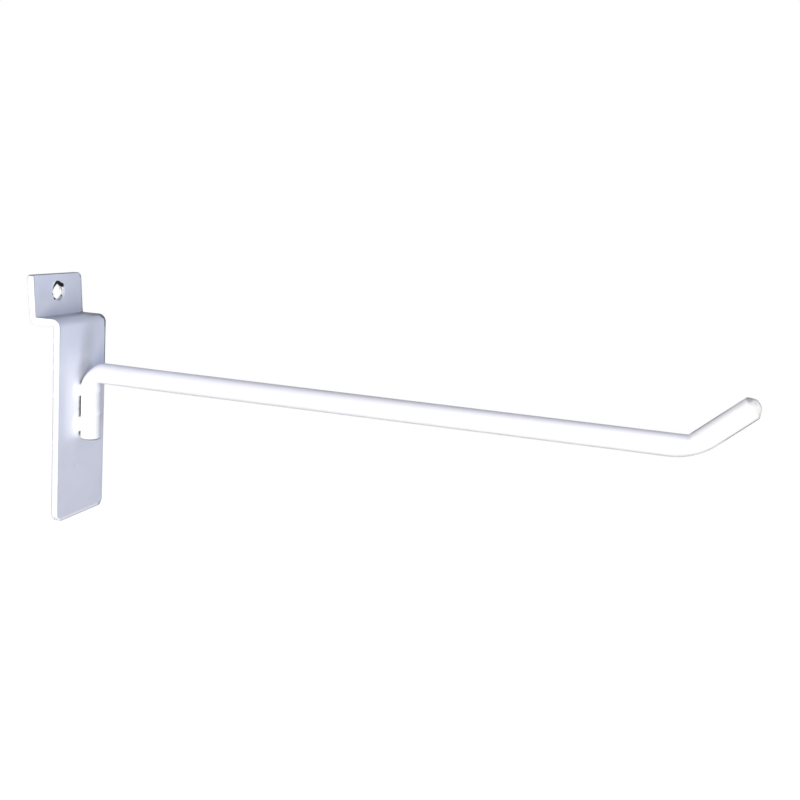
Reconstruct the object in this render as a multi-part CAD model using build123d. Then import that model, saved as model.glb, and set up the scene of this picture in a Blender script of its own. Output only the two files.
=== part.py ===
"""Slatwall hook: a folded back plate, a bent rod that carries the goods, and four short weld beads.

Millimetres, +Z up. The origin lies in the plane of the panel's face, level with the arm's axis and
midway across the plate. +Y points into the panel, and the arm runs out along -Y.
"""
import math
import os

from build123d import *

os.makedirs("parts", exist_ok=True)

# Back plate
plate_width = 25.4
plate_height = 76.2         # from the tab's top edge to the plate's bottom edge
sheet_thickness = 2.2
bend_inside_radius = 1.2
lower_corner_radius = 2.8
upper_corner_radius = 1.6
sheet_edge_bevel = 0.4      # softening of the sheet's cut edges
seat_height = 14.9          # underside of the ledge above the arm's axis
tab_rise = 15.0             # top of the tab above the underside of the ledge
lip_gap = 6.35              # panel face to the tab's front, level with the ledge's top
tab_lean = 4.0              # degrees from upright, towards the wall
hole_diameter = 6.3
hole_rise = 9.5             # hole's centre above the underside of the ledge

# Rod
rod_diameter = 6.5
projection = 204.3          # panel face to the middle of the tip's end
leg_drop = 21.3             # leg's end below the arm's axis
elbow_radius = 3.7          # bend radius of the rod's axis at the elbow
weld_flat_depth = 0.15      # how far the leg is pressed flat where it lies on the plate
tip_angle = 41.0            # degrees above the arm
tip_length = 20.9           # along the tip's axis, from where it would meet the arm's axis
crease_radius = 0.5         # inside of the pressed bend
pressed_bend_radius = 19.0  # outside of the pressed bend
pressed_spread = 0.4        # power by which the rod gets wider where it is pressed thinner
approach_steps = 4          # sections on each side of the crease, evenly spaced
tip_bevel = 2.0
tip_shoulder_radius = 0.6   # where the bevel starts
tip_nose_radius = 1.5       # between the bevel and the end
leg_end_radius = 0.6

# Weld beads
bead_radius = 2.0
upper_bead_depth = 5.1      # bead's middle below the arm's axis
upper_bead_straight = 0.4   # between the bead's rounded ends
lower_bead_depth = 16.4
lower_bead_straight = 1.2
bead_offset = 2.6           # sideways from the leg's axis
bead_lift = 0.8             # outwards from the plate's face

rod_radius = rod_diameter / 2
leg_y = -(sheet_thickness + rod_radius - weld_flat_depth)
shelf_height = seat_height + sheet_thickness
across = Vector(1, 0, 0)
tab_up = Vector(0, math.sin(math.radians(tab_lean)), math.cos(math.radians(tab_lean)))
tab_wallwards = across.cross(tab_up) * -1


def side_point(y, z):
    """A point in the middle plane, where the side outlines are drawn."""
    return Vector(0, y, z)


def sheet_outline():
    """Side outline of the folded sheet, with its bends rounded inside and outside."""
    bottom_z = seat_height + tab_rise - plate_height
    tab_foot = side_point(lip_gap, shelf_height)
    tab_front_top = tab_foot + tab_up * ((tab_rise - sheet_thickness) / tab_up.Z)
    tab_back_top = tab_front_top + tab_wallwards * sheet_thickness
    heel = tab_back_top - tab_up * ((tab_back_top.Z - seat_height) / tab_up.Z)
    knee_inside = side_point(0, seat_height)
    knee_outside = side_point(-sheet_thickness, shelf_height)
    face = make_face(
        Polyline(
            side_point(0, bottom_z),
            knee_inside,
            heel,
            tab_back_top,
            tab_front_top,
            tab_foot,
            knee_outside,
            side_point(-sheet_thickness, bottom_z),
            close=True,
        )
    )
    bend_outside_radius = bend_inside_radius + sheet_thickness
    for corner, radius in (
        (knee_inside, bend_inside_radius),
        (tab_foot, bend_inside_radius),
        (knee_outside, bend_outside_radius),
        (heel, bend_outside_radius),
    ):
        face = fillet(face.vertices().sort_by_distance(corner)[0], radius)
    return face


def back_plate():
    """Folded sheet with rounded corners, softened edges and a hole through its tab."""
    sheet = extrude(sheet_outline(), plate_width / 2, dir=(1, 0, 0), both=True)
    for level, radius in ((0, lower_corner_radius), (-1, upper_corner_radius)):
        through = sheet.edges().filter_by(lambda e: abs(e.length - sheet_thickness) < sheet_thickness / 100)
        sheet = fillet(through.filter_by(GeomType.LINE).group_by(Axis.Z)[level], radius)
    side_faces = sheet.faces().filter_by(Axis.X)
    sheet = chamfer(side_faces.edges(), sheet_edge_bevel)
    hole_middle = side_point(lip_gap, shelf_height) + tab_wallwards * (sheet_thickness / 2)
    hole_middle += tab_up * ((seat_height + hole_rise - hole_middle.Z) / tab_up.Z)
    hole_plane = Plane(origin=hole_middle, x_dir=across, z_dir=tab_wallwards)
    return sheet - hole_plane * Cylinder(hole_diameter / 2, sheet_thickness * 2)


def tip_axis():
    """Where the tip's axis would meet the arm's axis, and the tip's direction."""
    rise = math.radians(tip_angle)
    direction = side_point(-math.cos(rise), math.sin(rise))
    corner = side_point(-projection, 0) - side_point(direction.Y, 0) * tip_length
    return corner, direction


def pressed_bend_stations():
    """Places across the pressed bend, in order along the rod.

    Each is a point over the crease, the direction to the outer side, and the distances from that point
    to the inner and the outer side. The second half is the first, turned over about the bend's middle.
    """
    half = math.radians(tip_angle / 2)
    corner, _ = tip_axis()
    pivot_height = rod_radius + crease_radius
    pivot = corner + side_point(pivot_height * math.tan(half), pivot_height)
    # The outer arc's middle, as distances from the pivot along the arm and downwards.
    arc_down = rod_diameter + crease_radius - pressed_bend_radius
    arc_along = arc_down * math.tan(half)

    def on_arm(along):
        over_arc = max(along - arc_along, 0)
        outer = arc_down + math.sqrt(pressed_bend_radius**2 - over_arc**2)
        return side_point(-along, 0), side_point(0, -1), crease_radius, outer

    def on_fan(turn):
        outwards = side_point(-math.sin(turn), -math.cos(turn))
        lengthways = arc_along * math.sin(turn) + arc_down * math.cos(turn)
        crossways = arc_along * math.cos(turn) - arc_down * math.sin(turn)
        outer = lengthways + math.sqrt(pressed_bend_radius**2 - crossways**2)
        return side_point(0, 0), outwards, crease_radius, outer

    first_half = [on_arm(arc_along * (1 - step / approach_steps)) for step in range(approach_steps)]
    first_half.append(on_fan(0))
    middle = on_fan(half)
    bisector = middle[1]

    def turned_over(vector):
        return bisector * (2 * vector.dot(bisector)) - vector

    second_half = [(turned_over(at), turned_over(out), near, far) for at, out, near, far in reversed(first_half)]
    return [(pivot + at, out, near, far) for at, out, near, far in first_half + [middle] + second_half]


def pressed_bend():
    """Bend with a sharp crease inside and a broad arc outside, lofted through fanned ellipses."""
    sections = []
    for at, outwards, near, far in pressed_bend_stations():
        depth = min(far - near, rod_diameter)
        width = rod_diameter * (rod_diameter / depth) ** pressed_spread
        plane = Plane(origin=at + outwards * ((near + far) / 2), x_dir=across, z_dir=across.cross(outwards))
        sections.append(plane * Ellipse(width / 2, depth / 2))
    return loft(sections)


def leg_and_arm():
    """Round rod up the plate, round the elbow and out to the pressed bend."""
    at, outwards, near, far = pressed_bend_stations()[0]
    path = FilletPolyline(
        side_point(leg_y, -leg_drop),
        side_point(leg_y, 0),
        side_point(at.Y, 0),
        radius=elbow_radius,
    )
    rod = sweep(Pos(0, leg_y, -leg_drop) * Circle(rod_radius), path=path)
    return fillet(rod.edges().group_by(Axis.Z)[0], leg_end_radius)


def bevelled_tip():
    """Straight end of the rod past the pressed bend, turned about its own axis."""
    corner, direction = tip_axis()
    at, outwards, near, far = pressed_bend_stations()[-1]
    start = (at + outwards * ((near + far) / 2) - corner).length
    face = make_face(
        Polyline(
            (0, start),
            (rod_radius, start),
            (rod_radius, tip_length - tip_bevel),
            (rod_radius - tip_bevel, tip_length),
            (0, tip_length),
            close=True,
        )
    )
    for radius, along, softening in (
        (rod_radius, tip_length - tip_bevel, tip_shoulder_radius),
        (rod_radius - tip_bevel, tip_length, tip_nose_radius),
    ):
        face = fillet(face.vertices().sort_by_distance((radius, along, 0))[0], softening)
    turned = revolve(face, Axis.Y)
    return Plane(origin=corner, x_dir=across, z_dir=across.cross(direction)) * turned


def plate_side():
    """Block that fills the plate's side of its front face, to press the leg flat."""
    size = plate_height * 2
    return Pos(0, -sheet_thickness + size / 2, 0) * Box(size, size, size)


def hook_rod():
    """Whole rod, with the leg's flat where it lies on the plate."""
    return leg_and_arm() + pressed_bend() + bevelled_tip() - plate_side()


def weld_bead(side, depth, straight, rod):
    """Bead in the corner between the leg and the plate, cut to fit both. Side is -1 for left, 1 for right.

    The outline is turned so that the seam of the bead's surface lies inside the leg and is cut away.
    """
    top = (0, straight / 2 + bead_radius)
    bottom = (0, -straight / 2 - bead_radius)
    outline = [
        RadiusArc(top, (bead_radius, straight / 2), bead_radius),
        Line((bead_radius, straight / 2), (bead_radius, -straight / 2)),
        RadiusArc((bead_radius, -straight / 2), bottom, bead_radius),
        Line(bottom, top),
    ]
    bead = revolve(Plane.XZ * make_face(outline), Axis.Z)
    bead = Rot(0, 0, 0 if side < 0 else 180) * bead
    return Pos(side * bead_offset, -(sheet_thickness + bead_lift), -depth) * bead - rod - plate_side()


rod = hook_rod()
pieces = {"back_plate": back_plate(), "hook_rod": rod}
for level, depth, straight in (
    ("upper", upper_bead_depth, upper_bead_straight),
    ("lower", lower_bead_depth, lower_bead_straight),
):
    for side_name, side in (("left", -1), ("right", 1)):
        pieces[f"weld_bead_{level}_{side_name}"] = weld_bead(side, depth, straight, rod)

for name, piece in pieces.items():
    piece.label = name
    export_step(piece, f"parts/{name}.step")
    print(name, round(piece.volume, 2), "mm3")
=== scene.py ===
import math

import bmesh
import bpy
from mathutils import Matrix, Vector, noise


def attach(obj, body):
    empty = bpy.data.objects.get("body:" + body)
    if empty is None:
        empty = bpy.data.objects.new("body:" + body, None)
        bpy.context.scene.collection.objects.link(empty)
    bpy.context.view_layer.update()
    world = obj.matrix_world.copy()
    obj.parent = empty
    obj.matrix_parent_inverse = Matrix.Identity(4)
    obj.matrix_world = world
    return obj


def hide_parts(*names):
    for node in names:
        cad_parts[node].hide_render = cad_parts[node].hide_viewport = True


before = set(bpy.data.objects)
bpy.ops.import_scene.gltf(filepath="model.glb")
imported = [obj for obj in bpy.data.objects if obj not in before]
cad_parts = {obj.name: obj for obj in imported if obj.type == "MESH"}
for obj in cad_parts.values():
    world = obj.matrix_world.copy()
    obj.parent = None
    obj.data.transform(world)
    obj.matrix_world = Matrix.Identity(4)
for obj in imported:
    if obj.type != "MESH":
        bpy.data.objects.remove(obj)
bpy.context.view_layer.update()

mm = 0.001


# Small helpers

def hexColour(text):
    # sRGB hex to the linear values that the shaders take
    channels = [int(text[i:i + 2], 16) / 255 for i in (1, 3, 5)]
    linear = [c / 12.92 if c <= 0.04045 else ((c + 0.055) / 1.055) ** 2.4 for c in channels]
    return (*linear, 1.0)


def addNode(tree, kind, settings=None, **links):
    # settings: attributes or input values, links: input name to the socket that feeds it
    node = tree.nodes.new(kind)
    for name, value in (settings or {}).items():
        if hasattr(node, name) and name not in node.inputs:
            setattr(node, name, value)
        else:
            node.inputs[name].default_value = value
    for name, socket in links.items():
        target = int(name[1:]) if name[0] == "i" and name[1:].isdigit() else name.replace("_", " ")
        tree.links.new(socket, node.inputs[target])
    return node


def newObject(name, mesh):
    piece = bpy.data.objects.new(name, mesh)
    bpy.context.scene.collection.objects.link(piece)
    return piece


def finishMesh(build, mesh):
    bmesh.ops.recalc_face_normals(build, faces=build.faces)
    for face in build.faces:
        face.smooth = True
    build.to_mesh(mesh)
    print(mesh.name, "faces", len(build.faces), "open edges", sum(1 for e in build.edges if not e.is_manifold))
    build.free()


def skin(name, coating, rings, endless=False):
    # a tube through rings of points in mm, either endless or with flat ends
    build = bmesh.new()
    loops = [[build.verts.new(point * mm) for point in ring] for ring in rings]
    for before, after in zip(loops, loops[1:] + (loops[:1] if endless else [])):
        for k in range(len(before)):
            following = (k + 1) % len(before)
            build.faces.new((before[k], before[following], after[following], after[k]))
    if not endless:
        build.faces.new(loops[0][::-1])
        build.faces.new(loops[-1])
    mesh = bpy.data.meshes.new(name)
    finishMesh(build, mesh)
    mesh.materials.append(coating)
    return newObject(name, mesh)


def lerp(a, b, t):
    return a + (b - a) * t


def clamp(t):
    return min(max(t, 0), 1)


def ease(t):
    # smooth step from 0 to 1
    t = clamp(t)
    return t * t * (3 - 2 * t)


def sidePoint(y, z):
    return Vector((0, y, z))


# Camera, matched to the photograph's perspective

viewpoint = {
    "place": (-294.46, -193.70, 57.14),  # mm
    "yaw": 16.467,       # degrees from +X towards +Y
    "pitch": 9.977,      # looking down
    "roll": -4.024,
    "lens": 48.84,       # mm
    "sensor": 36.0,
    "nearest": 0.01,     # metres
}


def makeCamera(settings):
    yaw, pitch, roll = (math.radians(settings[k]) for k in ("yaw", "pitch", "roll"))
    ahead = Vector((math.cos(yaw) * math.cos(pitch), math.sin(yaw) * math.cos(pitch), -math.sin(pitch)))
    level = Vector((math.sin(yaw), -math.cos(yaw), 0))
    down = ahead.cross(level)
    right = level * math.cos(roll) + down * math.sin(roll)
    up = level * math.sin(roll) - down * math.cos(roll)
    data = bpy.data.cameras.new("photoCamera")
    data.sensor_width = settings["sensor"]
    data.lens = settings["lens"]
    data.clip_start = settings["nearest"]
    camera = bpy.data.objects.new("photoCamera", data)
    turn = Matrix((right, up, -ahead)).transposed().to_4x4()
    camera.matrix_world = Matrix.Translation(Vector(settings["place"]) * mm) @ turn
    bpy.context.scene.collection.objects.link(camera)
    bpy.context.scene.camera = camera


makeCamera(viewpoint)
print("camera placed")


# Lamps, floor and the white beyond

# places and sizes in metres, spread in degrees
lamps = {
    # a large softbox on the left, a little in front
    "key": {"place": (-0.74, -0.30, -0.07), "aim": (0.0, -0.07, 0.0), "size": 0.62, "spread": 180,
            "watts": 8.7, "colour": "#FFFDF6"},
    # a cool lamp with a grid, low in front, that only reaches the plate
    "fill": {"place": (-0.08, -0.30, -0.36), "aim": (0.0, 0.0, -0.005), "size": 0.2, "spread": 50,
             "watts": 0.09, "colour": "#BDC5DF"},
    # a small lamp behind, that shines through the hole from the left
    "hole": {"place": (-0.07, 0.128, 0.026), "aim": (0.002, 0.008, 0.0244), "size": 0.02, "spread": 24,
             "watts": 0.0045, "colour": "#FFFFFF"},
    # a small lamp from behind, on the tip's upper side only
    "tip": {"place": (-0.25, 0.35, 0.07), "aim": (0.0, -0.203, 0.009), "size": 0.03, "spread": 8,
            "watts": 0.0014, "colour": "#FFFDF6"},
    # a weak cool lamp, high in front, on the tab and the ledge
    "top": {"place": (-0.16, -0.36, 0.22), "aim": (0.0, 0.006, 0.022), "size": 0.05, "spread": 16,
            "watts": 0.0024, "colour": "#74A7FF"},
}

studio = {
    "ambient": "#9397A5",
    "ambientStrength": 0.68,
    "whiteStrength": 1.0,
    "floorPaint": "#E6E6E8",
    "floorGlow": 0.88,         # lifts the floor to the backdrop's white, for the camera only
    "floorBounce": "#7C7C80",  # what the floor gives back to the part
    "floorHeight": -0.70,      # metres
    "floorWidth": 6.0,
}


def areaLamp(name, settings):
    data = bpy.data.lights.new(name, "AREA")
    data.shape = "SQUARE"
    data.size = settings["size"]
    data.spread = math.radians(settings["spread"])
    data.energy = settings["watts"]
    data.color = hexColour(settings["colour"])[:3]
    lamp = bpy.data.objects.new(name, data)
    place = Vector(settings["place"])
    lamp.location = place
    lamp.visible_camera = False
    lamp.rotation_euler = (Vector(settings["aim"]) - place).to_track_quat("-Z", "Y").to_euler()
    bpy.context.scene.collection.objects.link(lamp)


def makeWorld(settings):
    world = bpy.data.worlds.new("studioWorld")
    world.use_nodes = True
    tree = world.node_tree
    tree.nodes.clear()
    path = addNode(tree, "ShaderNodeLightPath").outputs
    seen = addNode(tree, "ShaderNodeMath", {"operation": "MAXIMUM"}, i0=path["Is Camera Ray"],
                   i1=path["Is Glossy Ray"])
    seen = addNode(tree, "ShaderNodeMath", {"operation": "MAXIMUM"}, i0=seen.outputs[0],
                   i1=path["Is Transmission Ray"])
    around = addNode(tree, "ShaderNodeBackground", {"Color": hexColour(settings["ambient"]),
                                                    "Strength": settings["ambientStrength"]})
    white = addNode(tree, "ShaderNodeBackground", {"Color": (1, 1, 1, 1),
                                                   "Strength": settings["whiteStrength"]})
    mix = addNode(tree, "ShaderNodeMixShader", None, i0=seen.outputs[0], i1=around.outputs[0],
                  i2=white.outputs[0])
    addNode(tree, "ShaderNodeOutputWorld", None, Surface=mix.outputs[0])
    bpy.context.scene.world = world


def makeFloor(settings):
    half = settings["floorWidth"] / 2
    mesh = bpy.data.meshes.new("studioFloor")
    mesh.from_pydata([(-half, -half, 0), (half, -half, 0), (half, half, 0), (-half, half, 0)], [],
                     [(0, 1, 2, 3)])
    floor = newObject("studioFloor", mesh)
    floor.location.z = settings["floorHeight"]
    # matt studio paper: no gloss, only an even pale tone that runs out into the white
    paint = bpy.data.materials.new("paleStudioFloor")
    paint.use_nodes = True
    tree = paint.node_tree
    tree.nodes.clear()
    path = addNode(tree, "ShaderNodeLightPath")
    matt = addNode(tree, "ShaderNodeBsdfDiffuse", {"Color": hexColour(settings["floorPaint"])})
    dim = addNode(tree, "ShaderNodeBsdfDiffuse", {"Color": hexColour(settings["floorBounce"])})
    glow = addNode(tree, "ShaderNodeEmission", {"Color": (1, 1, 1, 1), "Strength": settings["floorGlow"]})
    lit = addNode(tree, "ShaderNodeAddShader", None, i0=matt.outputs[0], i1=glow.outputs[0])
    mix = addNode(tree, "ShaderNodeMixShader", None, i0=path.outputs["Is Camera Ray"], i1=dim.outputs[0],
                  i2=lit.outputs[0])
    addNode(tree, "ShaderNodeOutputMaterial", None, Surface=mix.outputs[0])
    mesh.materials.append(paint)


makeWorld(studio)
makeFloor(studio)
for lampName, settings in lamps.items():
    areaLamp(lampName + "Softbox", settings)
bpy.context.scene.view_settings.view_transform = "Standard"
print("studio ready")


# Sizes of the plate, mm

plate = {
    "width": 25.4,
    "thickness": 2.2,
    "bottom": -46.3,        # lower end, and all heights from the arm's axis
    "seat": 14.9,           # underside of the ledge
    "top": 29.9,            # front top edge of the tab
    "lipGap": 6.35,
    "lean": 4.0,            # degrees
    "foldInside": 0.3,
    "corners": (2.4, 2.0, 1.0, 3.0),  # lower right, upper right, upper left, lower left
    "edge": 0.3,            # roundness of the coated edges
    "holeWidth": 6.3,
    "holeHeight": 24.4,
    "foldCuts": 18,
    "edgeSteps": 3,
    "cornerSteps": 12,
    "holePoints": 60,
    "joinWithin": 1e-6,     # metres, as the next one
    "cutWithin": 1e-8,
}


# Materials

# White polyester powder coat, sprayed on steel and baked: an even satin skin with fine orange peel,
# a cool white, and faint cloudy changes of gloss where it lies thicker. Shade is painted in as a dark
# grey in corners, creases, under the tip and along edges, and light as a whiter tone; the near black is
# bare steel, and on the hole's left painted shade.
coat = {
    "white": "#EAECF4",
    "shade": "#E3E5EF",
    # painted shade
    "paintedShade": "#4B484D",
    # painted light
    "paintedLight": "#FDFDFF",
    # bare steel, and painted shade on the hole's left
    "bareAndShade": "#0E0A12",
    "roughness": 0.34,
    "glossier": 0.04,      # roughness less where the clouds are darkest
    "duller": 0.05,        # and more where they are brightest
    "paintedShadeRoughness": 0.95,
    "specular": 0.5,
    "ior": 1.5,
    "peelSize": 0.9,       # mm between the dimples of the orange peel
    "peelHeight": 0.010,   # mm
    "cloudSize": 14.0,     # mm
    "toneSpan": (0.35, 0.65),
    "glossSpan": (0.3, 0.7),
    "raggedSize": 1.3,     # mm, unevenness of the outlines of painted shade and bare steel
}


def ramp(tree, value, low, high):
    # smooth step from 0 at low to 1 at high; low may lie above high
    falls = low > high
    return addNode(tree, "ShaderNodeMapRange", {"interpolation_type": "SMOOTHSTEP",
                                                "From Min": min(low, high), "From Max": max(low, high),
                                                "To Min": float(falls), "To Max": float(not falls)},
                   Value=value).outputs[0]


def maths(tree, operation, first, second=0.0):
    node = addNode(tree, "ShaderNodeMath", {"operation": operation})
    for socket, value in zip(node.inputs, (first, second)):
        if isinstance(value, (int, float)):
            socket.default_value = value
        else:
            tree.links.new(value, socket)
    return node.outputs[0]


def product(tree, result, *factors):
    for factor in factors:
        result = maths(tree, "MULTIPLY", result, factor)
    return result


def strongest(tree, result, *masks):
    for mask in masks:
        result = maths(tree, "MAXIMUM", result, mask)
    return result


def softSpot(tree, spot, middle, radius, share):
    # whole within a fifth of its radius
    away = addNode(tree, "ShaderNodeVectorMath", {"operation": "DISTANCE"}, i0=spot["point"])
    away.inputs[1].default_value = middle
    return product(tree, ramp(tree, away.outputs["Value"], radius, 0.2 * radius), share)


def spotOf(tree):
    # where a point lies on the piece, in mm, and which way the surface faces there
    place = addNode(tree, "ShaderNodeTexCoord").outputs
    point = addNode(tree, "ShaderNodeVectorMath", {"operation": "SCALE", "Scale": 1 / mm}, i0=place["Object"])
    at = addNode(tree, "ShaderNodeSeparateXYZ", None, Vector=point.outputs[0])
    facing = addNode(tree, "ShaderNodeSeparateXYZ", None, Vector=place["Normal"])
    return {"point": point.outputs[0], "at": tuple(at.outputs), "facing": tuple(facing.outputs)}


def cloudOf(tree, spot, size, **more):
    # cloudy noise with its features about size apart, mm
    return addNode(tree, "ShaderNodeTexNoise", {"Scale": 1 / size, **more}, Vector=spot["point"]).outputs["Fac"]


def tinted(tree, colour, share, tint):
    mix = addNode(tree, "ShaderNodeMix", {"data_type": "RGBA"}, i0=share, i6=colour)
    mix.inputs[7].default_value = hexColour(tint)
    return mix.outputs[2]


def powderCoat(name, settings, paintedShadePlaces=None, bareAndShadePlaces=None, paintedLightPlaces=None):
    material = bpy.data.materials.new(name)
    material.use_nodes = True
    tree = material.node_tree
    tree.nodes.clear()
    spot = spotOf(tree)
    peel = cloudOf(tree, spot, settings["peelSize"], Detail=2.0, Roughness=0.45)
    cloud = cloudOf(tree, spot, settings["cloudSize"], Detail=3.0)
    low, high = settings["toneSpan"]
    even = addNode(tree, "ShaderNodeMapRange", {"From Min": low, "From Max": high}, Value=cloud)
    tone = addNode(tree, "ShaderNodeMix", {"data_type": "RGBA"}, i0=even.outputs[0])
    tone.inputs[6].default_value = hexColour(settings["white"])
    tone.inputs[7].default_value = hexColour(settings["shade"])
    colour = tone.outputs[2]
    matt = 0.0
    # painted light: a whiter tone
    if paintedLightPlaces:
        colour = tinted(tree, colour, paintedLightPlaces(tree, spot), settings["paintedLight"])
    # painted shade: a dark grey tone
    if paintedShadePlaces:
        ragged = cloudOf(tree, spot, settings["raggedSize"], Detail=4.0)
        matt = paintedShadePlaces(tree, spot, ragged)
        colour = tinted(tree, colour, matt, settings["paintedShade"])
        # near black: bare steel, and painted shade on the hole's left
        if bareAndShadePlaces:
            bareAndShadeMask = bareAndShadePlaces(tree, spot, ragged)
            colour = tinted(tree, colour, bareAndShadeMask, settings["bareAndShade"])
            matt = strongest(tree, matt, bareAndShadeMask)
    low, high = settings["glossSpan"]
    gloss = addNode(tree, "ShaderNodeMapRange", {"From Min": low, "From Max": high,
                                                 "To Min": settings["roughness"] - settings["glossier"],
                                                 "To Max": settings["roughness"] + settings["duller"]},
                    Value=cloud)
    # where shade is painted and where the steel is bare, the coat is dull as well
    rough = strongest(tree, gloss.outputs[0], product(tree, matt, settings["paintedShadeRoughness"]))
    bump = addNode(tree, "ShaderNodeBump", {"Strength": 1.0, "Distance": settings["peelHeight"] * mm},
                   Height=peel)
    shader = addNode(tree, "ShaderNodeBsdfPrincipled", {"IOR": settings["ior"], "Metallic": 0.0,
                                                        "Specular IOR Level": settings["specular"]},
                     Base_Color=colour, Roughness=rough, Normal=bump.outputs[0])
    addNode(tree, "ShaderNodeOutputMaterial", None, Surface=shader.outputs[0])
    return material


# Where shade and light are painted into the coat, and where it is gone. Places and sizes are in mm. In a
# pair, the effect starts at the first value and is whole at the second, and a share tells how much of the
# other tone shows.

platePaintedShade = {
    "front": (-1.9, -2.1),         # Y, on the plate's front face only
    # painted shade beside the leg, in the crevice against the plate
    "fromLeg": (2.6, 1.2),         # X, to either side
    "legWander": 0.8,
    "legTop": (0.0, -5.5),         # Z
    "legBottom": (-21.4, -19.4),   # Z
    # painted shade: a broken dark line along the sheet's back edges, where their rounding faces away
    "backFrom": (0.05, 0.3),
    "backTo": (0.97, 0.88),
    "backUpright": (0.95, 0.85),
    "backBroken": (0.3, 0.5),
    # painted shade inside the left front edge, on its rounding
    "left": (0.585, 0.315),        # in from the edge
    "leftFacing": (-0.7, -0.5),
    "leftShare": 0.25,
    "leftMore": 0.25,              # above the arm
    "leftMoreFrom": (2.0, 8.0),    # Z
    # painted shade over the bottom edge, and on the tab's sheared top, which faces up
    "bottom": (0.45, 0.25),        # up from the edge
    "bottomShare": 0.2,
    "tabTop": (29.2, 29.6),        # Z
    "tabTopFacing": (0.3, 0.6),
    "tabTopShare": 0.7,
    # painted shade on the tab's lower part, sheltered by the bend
    "lowTab": (21.9, 17.5),        # Z
    "lowTabBehind": (4.5, 5.8),    # Y
    "lowTabFacing": (-0.5, -0.8),
    "lowTabShare": 0.09,
    # painted shade on the hole's wall
    "wallReach": (3.25, 3.15),     # from the hole's middle
    "wallFrom": (0.02, 0.1),       # depth behind the tab's front
    "wallTo": (1.1, 0.9),
    "wallShare": 0.45,
    # painted shadow behind the elbow and over the arm: middle, radius, share
    "elbow": (((1.2, -2.2, -0.6), 7.0, 0.27), ((4.5, -2.2, 8.0), 9.0, 0.09),
              ((10.0, -2.2, 9.5), 10.0, 0.08)),
    # painted shade: the dark side of a grain of dust under the coat, the lower right corner, and the tab's
    # upper right corner
    "spots": (((-3.9, -2.2, -29.7), 1.0, 0.06), ((11.3, -2.2, -46.5), 2.0, 0.7),
              ((12.4, 7.4, 29.0), 1.4, 0.75)),
}

# painted shade along the right cut edge, where its rounding turns away, most of all round the upper fold
edgePaintedShade = {
    "width": 0.72,
    "ragged": 0.3,
    "fade": (1.3, 0.7),            # in widths
    "fold": (10.4, 13.9),          # Z
    "foldFacing": (0.9, 0.6),
    "foldBefore": (0.6, -0.6),     # Y
    "foldWider": 0.25,
    "foldShare": 0.95,
    "ledge": (18.4, 17.9),         # Z
    "ledgeFacing": (0.35, 0.8),
    "ledgeWider": 1.3,
    "ledgeShare": 0.7,
    "lowShare": 0.15,              # below the leg
    "legMore": 0.05,               # what is added beside the leg
    "legFrom": (-26.0, -20.0),     # Z, as the next ones
    "armMore": 0.6,                # and above the arm
    "armFrom": (-3.0, 2.0),
    "tabLess": 0.4,                # what is taken off again on the tab
    "tabFrom": (17.9, 18.9),
}

# painted shade on the ledge's upper side: darker towards its right end, and in the bend under the tab
ledgePaintedShade = {
    "from": -1.0,                  # X
    "span": 11.5,
    "power": 1.5,
    "bend": (0.0, 3.0),            # Y
    "bendShare": 0.42,
    "facing": (0.75, 1.0),
    "under": (18.9, 17.7),         # Z
    "most": 0.64,
}

platePaintedLight = {
    "front": (-1.7, -2.0),         # Y
    # painted highlight: a lighter line just inside the bottom edge, on its rounding
    "lineFrom": (0.3, 0.55),       # up from the edge
    "lineTo": (1.35, 0.9),
    # painted light on the plate left of the leg and round the beads, where light bounces off them onto it
    "left": (-11.0, -7.0),         # X
    "middle": (0.0, -1.0),         # X
    "bottom": (-22.0, -18.8),      # Z
    "top": (12.0, -2.0),           # Z
    "share": 0.55,
    "beads": (((-2.5, -2.2, -5.6), 7.0, 1.0), ((-2.5, -2.2, -16.4), 7.5, 1.0)),
    # painted light on a strip beside the right edge, and a painted highlight on the dust's upper side
    "strip": (8.0, 9.5),           # X
    "stripTop": (1.0, -4.0),       # Z
    "stripBottom": (-24.0, -20.0),  # Z
    "stripShare": 0.7,
    "dustHighlight": ((-1.8, -2.2, -30.0), 0.8, 0.3),
}


# painted shade beside the leg
def paintedShadeBesideLeg(tree, spot, ragged):
    s = platePaintedShade
    x, y, z = spot["at"]
    aside = maths(tree, "ADD", maths(tree, "ABSOLUTE", x), product(tree, ragged, s["legWander"]))
    return product(tree, ramp(tree, aside, *s["fromLeg"]), ramp(tree, z, *s["legBottom"]),
                   ramp(tree, z, *s["legTop"]), ramp(tree, y, *s["front"]))


# painted shade on the back edges
def paintedShadeOnBackEdges(tree, spot, ragged):
    s = platePaintedShade
    facingY, facingZ = spot["facing"][1:]
    upright = ramp(tree, maths(tree, "ABSOLUTE", facingZ), *s["backUpright"])
    return product(tree, upright, ramp(tree, facingY, *s["backFrom"]), ramp(tree, facingY, *s["backTo"]),
                   ramp(tree, ragged, *s["backBroken"]))


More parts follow.
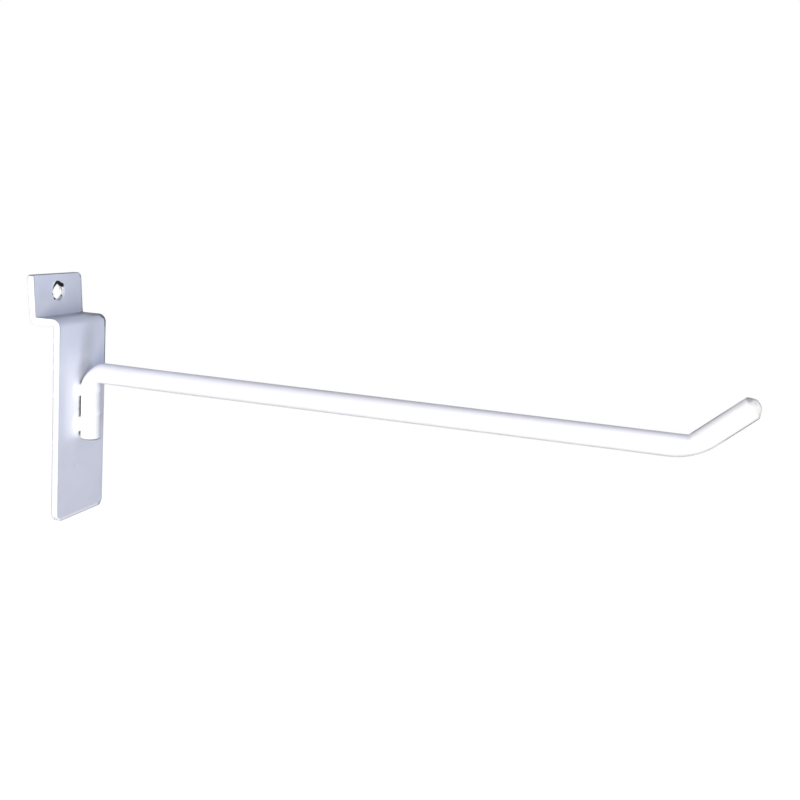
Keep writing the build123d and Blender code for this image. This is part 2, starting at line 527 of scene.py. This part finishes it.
# painted shade along the right edge
def paintedShadeOnRightEdge(tree, spot, ragged):
    s = edgePaintedShade
    x, y, z = spot["at"]
    facingZ = spot["facing"][2]
    fold = product(tree, ramp(tree, z, *s["fold"]), ramp(tree, facingZ, *s["foldFacing"]),
                   ramp(tree, y, *s["foldBefore"]))
    top = product(tree, ramp(tree, facingZ, *s["ledgeFacing"]), ramp(tree, z, *s["ledge"]))
    width = s["width"]
    for more in (product(tree, fold, s["foldWider"]),
                 product(tree, maths(tree, "SUBTRACT", ragged, 0.5), s["ragged"]),
                 product(tree, top, s["ledgeWider"])):
        width = maths(tree, "ADD", more, width)
    share = s["lowShare"]
    for more in (product(tree, ramp(tree, z, *s["legFrom"]), s["legMore"]),
                 product(tree, ramp(tree, z, *s["armFrom"]), s["armMore"]),
                 product(tree, ramp(tree, z, *s["tabFrom"]), -s["tabLess"])):
        share = maths(tree, "ADD", more, share)
    share = strongest(tree, share, product(tree, fold, s["foldShare"]), product(tree, top, s["ledgeShare"]))
    inwards = maths(tree, "DIVIDE", maths(tree, "SUBTRACT", plate["width"] / 2, x), width)
    return product(tree, ramp(tree, inwards, *s["fade"]), share)


# painted shade on the ledge
def paintedShadeOnLedge(tree, spot):
    s = ledgePaintedShade
    x, y, z = spot["at"]
    along = maths(tree, "DIVIDE", maths(tree, "SUBTRACT", x, s["from"]), s["span"])
    along = maths(tree, "POWER", strongest(tree, along, 0.0), s["power"])
    bend = product(tree, ramp(tree, y, *s["bend"]), s["bendShare"])
    upward = product(tree, ramp(tree, spot["facing"][2], *s["facing"]), ramp(tree, z, *s["under"]))
    return maths(tree, "MINIMUM", product(tree, strongest(tree, along, bend), upward), s["most"])


# painted shade on the plate: all the places above together
def paintedShadeOnPlate(tree, spot, ragged):
    s = platePaintedShade
    x, y, z = spot["at"]
    facingX, facingY, facingZ = spot["facing"]
    fromBottom = maths(tree, "SUBTRACT", z, plate["bottom"])
    fromLeft = maths(tree, "ADD", x, plate["width"] / 2)
    reach, depth = aroundHole(tree, spot)[1:]
    leftShare = maths(tree, "ADD", product(tree, ramp(tree, z, *s["leftMoreFrom"]), s["leftMore"]),
                      s["leftShare"])
    masks = [
        paintedShadeBesideLeg(tree, spot, ragged),
        paintedShadeOnBackEdges(tree, spot, ragged),
        paintedShadeOnRightEdge(tree, spot, ragged),
        paintedShadeOnLedge(tree, spot),
        product(tree, ramp(tree, fromLeft, *s["left"]), ramp(tree, facingX, *s["leftFacing"]), leftShare),
        product(tree, ramp(tree, fromBottom, *s["bottom"]), s["bottomShare"]),
        product(tree, ramp(tree, z, *s["tabTop"]), ramp(tree, facingZ, *s["tabTopFacing"]),
                s["tabTopShare"]),
        product(tree, ramp(tree, z, *s["lowTab"]), ramp(tree, y, *s["lowTabBehind"]),
                ramp(tree, facingY, *s["lowTabFacing"]), s["lowTabShare"]),
        product(tree, ramp(tree, reach, *s["wallReach"]), ramp(tree, depth, *s["wallFrom"]),
                ramp(tree, depth, *s["wallTo"]), s["wallShare"]),
    ]
    masks += [softSpot(tree, spot, *one) for one in s["spots"]]
    front = ramp(tree, y, *s["front"])
    masks += [product(tree, softSpot(tree, spot, *one), front) for one in s["elbow"]]
    return strongest(tree, *masks)


# painted light on the plate
def paintedLightOnPlate(tree, spot):
    s = platePaintedLight
    x, y, z = spot["at"]
    fromBottom = maths(tree, "SUBTRACT", z, plate["bottom"])
    overEnd = ramp(tree, z, *s["bottom"])
    masks = [
        product(tree, ramp(tree, fromBottom, *s["lineFrom"]), ramp(tree, fromBottom, *s["lineTo"])),
        product(tree, ramp(tree, x, *s["left"]), ramp(tree, x, *s["middle"]), overEnd,
                ramp(tree, z, *s["top"]), s["share"]),
        product(tree, ramp(tree, x, *s["strip"]), ramp(tree, z, *s["stripTop"]),
                ramp(tree, z, *s["stripBottom"]), s["stripShare"]),
        softSpot(tree, spot, *s["dustHighlight"]),
    ]
    masks += [product(tree, softSpot(tree, spot, *one), overEnd) for one in s["beads"]]
    return product(tree, strongest(tree, *masks), ramp(tree, y, *s["front"]))


rodPaintedShadeAndLight = {
    # painted shade at the leg's root, in the crevice beside the plate
    "rootWander": 0.5,
    "root": (-3.5, -2.9),          # Y
    # painted shade on the elbow's back, which faces the plate over a gap that widens
    "backFacing": (0.45, 0.85),
    "backGap": (-6.5, -3.5),       # Y
    "backShare": 0.25,
    # painted shade along the arm's far upper side, and on the leg's sheared end
    "farFacing": (-0.25, -0.05),
    "farUpwards": (0.7, 0.9),
    "farShare": 0.16,
    "legEnd": (-20.75, -21.0),     # Z
    "legEndShare": 0.7,
    # painted shade on the tip's lower side, the top of its bevel and the far edge of its upper side;
    # in distances over its axis, and along it in the pairs that follow
    "tipAngle": 41.0,              # degrees
    "tipCorner": -188.53,          # Y where the tip's axis meets the arm's
    "under": (-2.55, -3.1),
    "underFrom": (6.0, 9.0),
    "underShare": 0.62,
    "apex": (1.5, 2.3),
    "apexFrom": (18.4, 19.0),
    "apexShare": 0.45,
    "tipOver": (2.8, 3.0),
    "tipFarSide": (-1.1, -0.4),    # X
    "tipFrom": (1.0, 2.5),
    "tipTo": (22.0, 8.0),
    "tipShare": 0.78,
    # two faint patches of painted shade near the end: middle, radius, share
    "endShadePatches": (((-2.64, -201.74, 13.76), 0.9, 0.16), ((-1.91, -203.22, 13.74), 0.8, 0.16)),
    # painted light: a lighter, cooler tone on the upper side, and less of it on the steep tip
    "paintedLitSide": (0.2, 0.65),
    "level": (-194.0, -186.0),     # Y
    "steepShare": 0.4,
}


# painted shade on the rod
def paintedShadeOnRod(tree, spot, ragged):
    s = rodPaintedShadeAndLight
    x, y, z = spot["at"]
    facingX, facingY, facingZ = spot["facing"]
    rootwards = maths(tree, "SUBTRACT", y, product(tree, ragged, s["rootWander"]))
    sine = math.sin(math.radians(s["tipAngle"]))
    cosine = math.cos(math.radians(s["tipAngle"]))
    out = maths(tree, "SUBTRACT", s["tipCorner"], y)
    along = maths(tree, "ADD", product(tree, out, cosine), product(tree, z, sine))
    over = maths(tree, "SUBTRACT", product(tree, z, cosine), product(tree, out, sine))
    masks = [
        product(tree, ramp(tree, rootwards, *s["root"]), ramp(tree, z, *platePaintedShade["legBottom"])),
        product(tree, ramp(tree, facingY, *s["backFacing"]), ramp(tree, y, *s["backGap"]), s["backShare"]),
        product(tree, ramp(tree, facingX, *s["farFacing"]), ramp(tree, facingZ, *s["farUpwards"]),
                s["farShare"]),
        product(tree, ramp(tree, z, *s["legEnd"]), s["legEndShare"]),
        product(tree, ramp(tree, over, *s["under"]), ramp(tree, along, *s["underFrom"]), s["underShare"]),
        product(tree, ramp(tree, over, *s["apex"]), ramp(tree, along, *s["apexFrom"]), s["apexShare"]),
        product(tree, ramp(tree, over, *s["tipOver"]), ramp(tree, x, *s["tipFarSide"]),
                ramp(tree, along, *s["tipFrom"]), ramp(tree, along, *s["tipTo"]), s["tipShare"]),
    ]
    masks += [softSpot(tree, spot, *one) for one in s["endShadePatches"]]
    return strongest(tree, *masks)


# painted light on the rod's upper side
def paintedLitSideOnRod(tree, spot):
    s = rodPaintedShadeAndLight
    upper = ramp(tree, spot["facing"][2], *s["paintedLitSide"])
    level = ramp(tree, spot["at"][1], *s["level"])
    return product(tree, upper, strongest(tree, level, s["steepShare"]))


# bare, blackened steel round the hole, where the part hung on its wire in the oven; the same black is
# painted as shade inside the lip on the hole's left
hole = {
    "middle": (0.0, 6.86, 24.4),   # on the tab's front, mm
    "chipNoise": 0.3,              # mm
    # degrees round the hole from +X upwards, reach from its middle, depth behind the tab's front, radius
    "chips": ((-36, 2.7, 1.0, 0.45), (220, 3.1, 0.0, 0.6), (193, 3.5, 0.0, 0.25)),
    "chipEdge": 0.1,
    # the wire hung here and left the wall black, all the way through at the top, but not at the right;
    # on the left, over the rim, the black is painted shade
    "bareAndShadedArc": (24, 170),         # degrees
    "bareAndShadedStart": (-2, 4),        # degrees from its first end
    "bareAndShadedStop": (4, -4),         # degrees from its last end
    "bareAndShadedReach": (3.52, 3.42),
    "bareAndShadedDepth": 0.75,           # at its first end
    "bareAndShadedDeeper": 2.0,           # and what is added further round
    "deeperOver": 45,              # degrees
    "bareAndShadedEdge": 0.1,
    "rimEdge": 0.03,               # softness where it stops at the rim
    "overRim": 0.22,               # how far the painted shade comes out over the rim on the left
    "overRimFrom": (95, 115),      # degrees
}


def holePoint(degrees, reach, out):
    # round the hole's axis, out being in front of the tab's face
    angle = math.radians(degrees)
    lean = math.radians(plate["lean"])
    up = sidePoint(math.sin(lean), math.cos(lean))
    front = sidePoint(-math.cos(lean), math.sin(lean))
    aside = Vector((reach * math.cos(angle), 0, 0))
    return Vector(hole["middle"]) + aside + up * (reach * math.sin(angle)) + front * out


def aroundHole(tree, spot):
    # degrees round the hole, distance from its middle and depth behind the tab's front
    lean = math.radians(plate["lean"])
    x, y, z = spot["at"]
    inwards = maths(tree, "SUBTRACT", y, hole["middle"][1])
    height = maths(tree, "SUBTRACT", z, hole["middle"][2])
    depth = maths(tree, "SUBTRACT", product(tree, inwards, math.cos(lean)),
                  product(tree, height, math.sin(lean)))
    angle = product(tree, maths(tree, "ARCTAN2", height, x), 180 / math.pi)
    reach = maths(tree, "SQRT", maths(tree, "ADD", product(tree, x, x), product(tree, height, height)))
    return angle, reach, depth


# bare steel round the hole, and painted shade inside its lip on the left
def bareAndShadeAtHole(tree, spot, ragged):
    s = hole
    wander = product(tree, maths(tree, "SUBTRACT", ragged, 0.5), 2 * s["chipNoise"])
    masks = []
    for degrees, reach, depth, size in s["chips"]:
        away = addNode(tree, "ShaderNodeVectorMath", {"operation": "DISTANCE"}, i0=spot["point"])
        away.inputs[1].default_value = holePoint(degrees, reach, -depth)
        away = maths(tree, "ADD", away.outputs["Value"], wander)
        masks.append(ramp(tree, away, size + s["chipEdge"], size - s["chipEdge"]))
    angle, reach, depth = aroundHole(tree, spot)
    first, last = s["bareAndShadedArc"]
    deeper = product(tree, ramp(tree, angle, first, first + s["deeperOver"]), s["bareAndShadedDeeper"])
    through = maths(tree, "SUBTRACT", maths(tree, "ADD", depth, wander),
                    maths(tree, "ADD", deeper, s["bareAndShadedDepth"]))
    rim = maths(tree, "ADD", depth, product(tree, ramp(tree, angle, *s["overRimFrom"]), s["overRim"]))
    masks.append(product(tree, ramp(tree, angle, *(first + by for by in s["bareAndShadedStart"])),
                         ramp(tree, angle, *(last + by for by in s["bareAndShadedStop"])),
                         ramp(tree, rim, -s["rimEdge"], s["rimEdge"]),
                         ramp(tree, through, s["bareAndShadedEdge"], -s["bareAndShadedEdge"]),
                         ramp(tree, reach, *s["bareAndShadedReach"])))
    return strongest(tree, *masks)


# the same powder on all pieces, a little less shiny on the sheet; the drawn wire's more neutral white is
# painted light, which takes out the cool tint the studio light gives it
plateWhite = powderCoat("plateWhitePowderCoat", {**coat, "specular": 0.4}, paintedShadeOnPlate, bareAndShadeAtHole,
                        paintedLightOnPlate)
rodWhite = powderCoat("rodWhitePowderCoat", {**coat, "white": "#F1F1F1", "shade": "#EBEBEC",
                                             "paintedLight": "#F3F3FC"}, paintedShadeOnRod, None, paintedLitSideOnRod)
beadWhite = powderCoat("beadWhitePowderCoat", coat)
print("materials mixed")


# Back plate, cut flat and then folded

def foldLine(settings):
    # middle line of the sheet from its lower end, in runs of (length, side), and the radius of its arcs;
    # the side is 0 for a straight run, 1 for an arc towards the wall and -1 for an arc back upwards
    half = settings["thickness"] / 2
    bend = settings["foldInside"] + half
    lean = math.radians(settings["lean"])
    secondTurn = math.radians(90) - lean
    tangent = bend * math.tan(secondTurn / 2)
    ledgeZ = settings["seat"] + half
    footY = settings["lipGap"] + half * math.cos(lean)
    footZ = settings["seat"] + settings["thickness"] - half * math.sin(lean)
    heelY = footY - (footZ - ledgeZ) * math.tan(lean)
    topZ = settings["top"] - half * math.sin(lean)
    runs = (
        (ledgeZ - settings["bottom"] - bend, 0),
        (math.radians(90) * bend, 1),
        (heelY + half - bend - tangent, 0),
        (secondTurn * bend, -1),
        ((topZ - ledgeZ) / math.cos(lean) - tangent, 0),
    )
    return runs, bend


def foldStations(settings, runs):
    # lengths along the flat sheet where it has to be cut so that it can bend smoothly, and its whole length
    cuts = []
    at = 0
    for span, side in runs:
        if side:
            cuts += [at + span * k / settings["foldCuts"] for k in range(settings["foldCuts"] + 1)]
        at += span
    return cuts, at


def foldPoint(settings, runs, bend, flat):
    # from the flat sheet to its folded place, with Z of the flat sheet towards the front
    y = -settings["thickness"] / 2
    z = settings["bottom"]
    heading = 0.0
    left = flat.y
    for index, (span, side) in enumerate(runs):
        last = index == len(runs) - 1
        part = left if last else min(left, span)
        if side:
            centreY = y + math.cos(heading) * bend * side
            centreZ = z - math.sin(heading) * bend * side
            heading += side * part / bend
            y = centreY - math.cos(heading) * bend * side
            z = centreZ + math.sin(heading) * bend * side
        else:
            y += math.sin(heading) * part
            z += math.cos(heading) * part
        left -= part
        if left <= 0:
            break
    return Vector((flat.x, y - math.cos(heading) * flat.z, z + math.sin(heading) * flat.z))


def blankOutline(settings, length):
    # the flat sheet's outline and its hole, both as points in mm
    half = settings["width"] / 2
    outline = []
    quarters = ((1, 0, -90), (1, length, 0), (-1, length, 90), (-1, 0, 180))
    for (side, end, start), radius in zip(quarters, settings["corners"]):
        centreX = side * (half - radius)
        centreY = radius if end == 0 else end - radius
        for step in range(settings["cornerSteps"] + 1):
            angle = math.radians(start + 90 * step / settings["cornerSteps"])
            outline.append((centreX + radius * math.cos(angle), centreY + radius * math.sin(angle)))
    # the hole's place along the flat sheet, from its height up the leaning tab
    lean = math.radians(settings["lean"])
    topZ = settings["top"] - settings["thickness"] / 2 * math.sin(lean)
    along = length - (topZ - settings["holeHeight"]) / math.cos(lean)
    radius = settings["holeWidth"] / 2
    turns = [math.radians(-360 * k / settings["holePoints"]) for k in range(settings["holePoints"])]
    return outline, [(radius * math.cos(turn), along + radius * math.sin(turn)) for turn in turns]


def makePlate(settings):
    runs, bend = foldLine(settings)
    cuts, length = foldStations(settings, runs)
    edge = settings["edge"]
    curve = bpy.data.curves.new("plateBlank", "CURVE")
    curve.dimensions = "2D"
    curve.fill_mode = "BOTH"
    curve.extrude = (settings["thickness"] / 2 - edge) * mm
    curve.bevel_depth = edge * mm
    curve.bevel_resolution = settings["edgeSteps"]
    curve.offset = -edge * mm
    for points in blankOutline(settings, length):
        spline = curve.splines.new("POLY")
        spline.points.add(len(points) - 1)
        for point, (x, y) in zip(spline.points, points):
            point.co = (x * mm, y * mm, 0, 1)
        spline.use_cyclic_u = True
    blank = newObject("plateBlank", curve)
    mesh = bpy.data.meshes.new_from_object(blank.evaluated_get(bpy.context.evaluated_depsgraph_get()))
    bpy.data.objects.remove(blank)
    mesh.name = "backPlate"
    build = bmesh.new()
    build.from_mesh(mesh)
    bmesh.ops.remove_doubles(build, verts=build.verts, dist=settings["joinWithin"])
    for cut in cuts:
        everything = build.verts[:] + build.edges[:] + build.faces[:]
        bmesh.ops.bisect_plane(build, geom=everything, dist=settings["cutWithin"], plane_co=(0, cut * mm, 0),
                               plane_no=(0, 1, 0))
    for vert in build.verts:
        vert.co = foldPoint(settings, runs, bend, vert.co / mm) * mm
    finishMesh(build, mesh)
    mesh.materials.clear()
    mesh.materials.append(plateWhite)
    piece = newObject("backPlate", mesh)
    even = piece.modifiers.new("evenNormals", "WEIGHTED_NORMAL")
    even.mode = "FACE_AREA"
    even.weight = 100
    even.keep_sharp = True
    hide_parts("back_plate")
    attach(piece, "root")


makePlate(plate)
print("plate folded")


# Uneven lip of coat round the hole

lip = {
    "outer": 0.6,              # mm outside the hole's rim where the lip starts
    "sunk": 0.03,              # mm under the tab's face there
    "rise": 0.03,
    "ridge": (136, 22, 0.17),  # the lip stands highest here: degrees, half width, mm more
    "sectors": 144,
    # on the tab's face: how far out from the rim, and how high, in parts of the rise
    "front": ((0.85, 0.3), (0.62, 0.8), (0.45, 1.0), (0.15, 0.5), (0.0, 0.0)),
    # inside: how far in from the rim, depth where the drops run back along the wall, depth anywhere
    "inside": ((0.45, 0.18, 0.02), (0.8, 0.45, 0.03), (1.0, 0.75, 0.06), (1.0, 0.95, 0.1)),
    # behind the drops: how far back to the wall, and the same two depths
    "behind": (0.5, 1.15, 0.14),
    # buried in the wall: mm beyond it, depth
    "buried": ((0.02, 1.35), (0.2, 1.2), (0.2, 0.6)),
    # on the left the drops hang from the very rim, on the right they run back along the wall
    "runBack": (0.08, 1.0),
    "runBackFrom": (-0.45, 0.25),  # X, in parts of the hole's radius
    "waver": 0.08,             # mm, unevenness of the drops
    "waverStep": 0.35,
    "waverSeed": (0.5, 4.0),
    # (degrees, reach of the rim, reach of the drops inside), mm
    "drops": ((0, 2.9, 2.6), (25, 3.0, 2.65), (41, 3.35, 2.4), (64, 2.95, 2.25), (91, 3.2, 2.25),
              (117, 3.0, 2.25), (140, 3.05, 2.4), (157, 3.15, 2.72), (175, 3.15, 3.08), (216, 3.15, 3.12),
              (240, 3.12, 2.6), (270, 3.05, 2.4), (295, 2.95, 2.5), (320, 2.9, 2.65), (340, 2.88, 2.6),
              (360, 2.9, 2.6)),
}


def dropAt(degrees):
    for (low, rimLow, innerLow), (high, rimHigh, innerHigh) in zip(lip["drops"], lip["drops"][1:]):
        if low <= degrees <= high:
            t = ease((degrees - low) / (high - low))
            return lerp(rimLow, rimHigh, t), lerp(innerLow, innerHigh, t)


def makeHoleLip(s):
    radius = plate["holeWidth"] / 2
    outer = radius + s["outer"]
    ridge, width, more = s["ridge"]
    start, stop = s["runBackFrom"]
    rings = []
    for k in range(s["sectors"]):
        degrees = 360 * k / s["sectors"]
        rim, inner = dropAt(degrees)
        inner += s["waver"] * noise.noise(Vector((k * s["waverStep"], *s["waverSeed"])))
        rise = s["rise"] + more * math.exp(-((degrees - ridge) / width) ** 2)
        sink = lerp(*s["runBack"], clamp((math.cos(math.radians(degrees)) - start) / (stop - start)))
        share, deep, least = s["behind"]
        section = [
            (outer, -s["sunk"]),
            *((lerp(rim, outer, share), rise * high) for share, high in s["front"]),
            *((lerp(rim, inner, share), -deep * sink - least) for share, deep, least in s["inside"]),
            (lerp(inner, radius, share), -deep * sink - least),
            *((radius + beyond, -depth) for beyond, depth in s["buried"]),
        ]
        rings.append([holePoint(degrees, reach, out) for reach, out in section])
    piece = skin("holeLip", plateWhite, rings, endless=True)
    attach(piece, "root")


makeHoleLip(lip)
print("hole's lip laid")


# Rod, a tube through rings

rod = {
    "width": 6.5,
    "pressed": 0.15,        # flat on the leg where it lies on the plate
    "legEnd": -21.45,
    "legRound": 0.6,
    "elbow": 3.7,
    "projection": 204.3,
    "tipAngle": 41.0,       # degrees
    "tipLength": 20.9,
    "crease": 0.5,
    "outerBend": 19.0,
    "spread": 0.4,          # power by which the rod gets wider where it is pressed thinner
    "bevel": 2.0,
    "shoulder": 0.9,        # softening where the bevel starts
    "nose": 1.75,           # softening between the bevel and the end
    "oblique": 0.09,        # the end was sheared a little out of square, mm along for each mm up
    "obliqueFrom": 4.0,     # mm before the end where that starts
    "obliqueOver": 2.0,     # and the length over which it comes
    "legX": 0.45,           # the leg stands a little to the right
    "legXFrom": (-30.0, -10.0),  # Y between which the arm runs over to it
    "press": (0.34, 0.15),  # half of what the welding took off the leg's thickness, above and at its end
    "pressFrom": -10.0,     # height from which it gets less
    "swellings": ((-5.6, 1.0, 0.32), (-12.9, 0.8, 0.36)),  # on the leg's front: height, half length, mm more
    "elbowFlat": 0.9,       # the elbow's outer side is drawn thin
    "elbowWider": 0.03,     # and spreads sideways by this part of the radius
    "sides": 64,
    "steps": {"legEnd": 6, "leg": 40, "elbow": 20, "arm": 40, "approach": 14, "fan": 5, "tip": 5, "bevel": 6},
}
legY = -(plate["thickness"] + rod["width"] / 2 - rod["pressed"])


def legPress(z):
    high, low = rod["press"]
    return lerp(high, low, clamp((rod["pressFrom"] - z) / (rod["pressFrom"] - rod["legEnd"])))


def legAndElbow(s):
    # each ring: middle point, direction in the side plane across the rod, half depth, half width
    radius = s["width"] / 2
    start = s["legEnd"]
    soft = s["legRound"]
    bend = s["elbow"]
    rings = []
    for step in range(s["steps"]["legEnd"] + 1):
        angle = math.radians(90 * step / s["steps"]["legEnd"])
        reach = radius - soft + soft * math.sin(angle)
        press = legPress(start)
        rings.append((sidePoint(legY + press, start + soft - soft * math.cos(angle)), sidePoint(1, 0),
                      reach - press, reach))
    for step in range(1, s["steps"]["leg"]):
        z = lerp(start + soft, -bend, step / s["steps"]["leg"])
        swell = sum(more * math.exp(-((z - at) / span) ** 2) for at, span, more in s["swellings"])
        press = legPress(z) - swell / 2
        rings.append((sidePoint(legY + press, z), sidePoint(1, 0), radius - press, radius))
    for step in range(s["steps"]["elbow"] + 1):
        angle = math.radians(90 * step / s["steps"]["elbow"])
        out = sidePoint(math.cos(angle), math.sin(angle))
        near = bend - radius + 2 * legPress(0) * math.cos(angle)
        far = bend + radius - s["elbowFlat"] * math.sin(2 * angle)
        rings.append((sidePoint(legY - bend, -bend) + out * ((near + far) / 2), out, (far - near) / 2,
                      radius * (1 + s["elbowWider"] * math.sin(2 * angle))))
    return rings


def pressedBend(s):
    # a sharp crease inside and a broad arc outside; the second half is the first, turned over
    radius = s["width"] / 2
    half = math.radians(s["tipAngle"] / 2)
    cornerY = -(s["projection"] - s["tipLength"] * math.cos(2 * half))
    pivotUp = radius + s["crease"]
    pivot = sidePoint(cornerY + pivotUp * math.tan(half), pivotUp)
    arcDown = s["width"] + s["crease"] - s["outerBend"]
    arcAlong = arcDown * math.tan(half)

    def onArm(along):
        over = max(along - arcAlong, 0)
        far = arcDown + math.sqrt(s["outerBend"] ** 2 - over ** 2)
        return sidePoint(-along, 0), sidePoint(0, -1), s["crease"], far

    def onFan(turn):
        out = sidePoint(-math.sin(turn), -math.cos(turn))
        lengthways = arcAlong * math.sin(turn) + arcDown * math.cos(turn)
        crossways = arcAlong * math.cos(turn) - arcDown * math.sin(turn)
        far = lengthways + math.sqrt(s["outerBend"] ** 2 - crossways ** 2)
        return sidePoint(0, 0), out, s["crease"], far

    approach = s["steps"]["approach"]
    first = [onArm(arcAlong * (1 - step / approach)) for step in range(approach)]
    first += [onFan(half * step / s["steps"]["fan"]) for step in range(s["steps"]["fan"])]
    middle = onFan(half)
    axis = middle[1]
    second = [(axis * (2 * at.dot(axis)) - at, axis * (2 * out.dot(axis)) - out, near, far)
              for at, out, near, far in reversed(first)]
    rings = []
    for at, out, near, far in first + [middle] + second:
        depth = min(far - near, s["width"])
        rings.append((pivot + at + out * ((near + far) / 2), -out, depth / 2,
                      radius * (s["width"] / depth) ** s["spread"]))
    return rings, cornerY


def tipEnd(s, cornerY):
    # the bevel with softened edges: each corner of its outline becomes an arc of 45 degrees
    radius = s["width"] / 2
    turn = math.radians(45)
    points = []
    for at, r, first, soft in ((s["tipLength"] - s["bevel"], radius, 0, s["shoulder"]),
                               (s["tipLength"], radius - s["bevel"], turn, s["nose"])):
        enter = Vector((at, r)) - Vector((math.cos(first), -math.sin(first))) * (soft * math.tan(turn / 2))
        centre = enter + Vector((-math.sin(first), -math.cos(first))) * soft
        for step in range(s["steps"]["bevel"] + 1):
            angle = first + turn * step / s["steps"]["bevel"]
            points.append(centre + Vector((math.sin(angle), math.cos(angle))) * soft)
    rise = math.radians(s["tipAngle"])
    along = sidePoint(-math.cos(rise), math.sin(rise))
    across = sidePoint(math.sin(rise), math.cos(rise))
    tilted = across + along * s["oblique"]
    rings = []
    for at, r in points:
        share = clamp((at - s["tipLength"] + s["obliqueFrom"]) / s["obliqueOver"])
        rings.append((sidePoint(cornerY, 0) + along * at, across.lerp(tilted, share), r, r))
    return rings


def makeRod(s):
    radius = s["width"] / 2
    rings = legAndElbow(s)
    bendRings, cornerY = pressedBend(s)
    tail = tipEnd(s, cornerY)
    elbowEnd = rings[-1][0].y
    armEnd = bendRings[0][0].y
    for step in range(1, s["steps"]["arm"]):
        y = lerp(elbowEnd, armEnd, step / s["steps"]["arm"])
        rings.append((sidePoint(y, 0), sidePoint(0, 1), radius, radius))
    rings += bendRings
    bendEnd = bendRings[-1][0]
    for step in range(1, s["steps"]["tip"]):
        rings.append((bendEnd.lerp(tail[0][0], step / s["steps"]["tip"]), tail[0][1], radius, radius))
    rings += tail
    start, stop = s["legXFrom"]
    tube = []
    for middle, across, halfDepth, halfWidth in rings:
        loop = []
        for k in range(s["sides"]):
            angle = math.tau * k / s["sides"]
            point = middle + across * (halfDepth * math.cos(angle))
            point.y = min(point.y, -plate["thickness"])  # pressed flat on the plate
            point.x = halfWidth * math.sin(angle) + s["legX"] * ease((point.y - start) / (stop - start))
            loop.append(point)
        tube.append(loop)
    piece = skin("hookRod", rodWhite, tube)
    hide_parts("hook_rod")
    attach(piece, "root")


makeRod(rod)
print("rod bent")


# Weld beads, run into the corners between the leg and the plate

beads = {
    "plateReach": 5.0,      # how far out on the plate a full bead runs, from the leg's axis
    "legReach": 66.0,       # degrees round the leg, from where it touches the plate
    "contact": 12.0,        # degrees, where the bead's root lies
    "plateFlow": 0.95,      # how far the bead flows out flat over the plate, as a part of its slope
    "legFlow": 0.10,        # and over the leg
    "endFull": 0.02,        # how full it is at its ends
    "endPower": 0.75,       # the smaller, the blunter its ends
    "sunk": 0.02,           # mm into the plate and the leg
    "rootSunk": 0.05,
    "reachWobble": 0.35,    # mm
    "climbWobble": 9.0,     # degrees
    "lumps": 0.14,          # mm
    "lumpSize": 2.4,        # mm
    "sections": 44,
    "points": 18,
    # name: (side, middle height, length, size, seed)
    "runs": {
        "weld_bead_upper_left": (-1, -5.7, 4.1, 0.92, 3.0),
        "weld_bead_upper_right": (1, -5.1, 4.8, 0.92, 11.0),
        "weld_bead_lower_left": (-1, -16.6, 4.9, 0.95, 19.0),
        "weld_bead_lower_right": (1, -16.3, 5.8, 0.96, 27.0),
    },
}


def makeBead(node, s):
    side, middle, length, size, seed = s["runs"][node]
    underSkin = -plate["thickness"] + s["sunk"]
    radius = rod["width"] / 2
    press = legPress(middle)

    def onLeg(degrees, out):
        angle = math.radians(degrees)
        reach = radius + out
        return Vector((rod["legX"] + side * reach * math.sin(angle),
                       legY + press + (reach - press) * math.cos(angle)))

    rings = []
    for step in range(s["sections"] + 1):
        turn = math.pi * step / s["sections"]
        height = middle + length / 2 * math.cos(turn)
        fullness = max(math.sin(turn), s["endFull"]) ** s["endPower"] * size
        wobble = noise.noise(Vector((height / s["lumpSize"], seed, 0.0))) * fullness
        reach = lerp(radius * math.sin(math.radians(s["contact"])), s["plateReach"], fullness)
        climb = lerp(s["contact"], s["legReach"], fullness) + s["climbWobble"] * wobble
        toe = Vector((rod["legX"] + side * (reach + s["reachWobble"] * wobble), underSkin))
        crest = onLeg(climb, -s["sunk"])
        # the skin leaves the plate and the leg smoothly, with a short slope in between
        slant = crest - toe
        out = Vector((side * abs(slant.y), -abs(slant.x))).normalized()
        downLeg = Vector((-side * math.cos(math.radians(climb)), math.sin(math.radians(climb))))
        bends = (toe, toe + Vector((-side, 0)) * (s["plateFlow"] * slant.length),
                 crest + downLeg * (s["legFlow"] * slant.length), crest)
        section = []
        for k in range(s["points"] + 1):
            t = k / s["points"]
            shares = ((1 - t) ** 3, 3 * t * (1 - t) ** 2, 3 * t * t * (1 - t), t ** 3)
            point = sum((bend * share for bend, share in zip(bends, shares)), Vector((0, 0)))
            lump = noise.noise(Vector((point.x / s["lumpSize"], height / s["lumpSize"], seed)))
            section.append(point + out * (s["lumps"] * lump * math.sin(math.pi * t) * fullness))
        section.append(onLeg(s["contact"], -s["rootSunk"]))
        rings.append([Vector((x, min(y, underSkin), height)) for x, y in section])
    words = node.split("_")
    piece = skin("weldBead" + words[2].capitalize() + words[3].capitalize(), beadWhite, rings)
    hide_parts(node)
    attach(piece, "root")


for node in beads["runs"]:
    makeBead(node, beads)
print("beads laid")
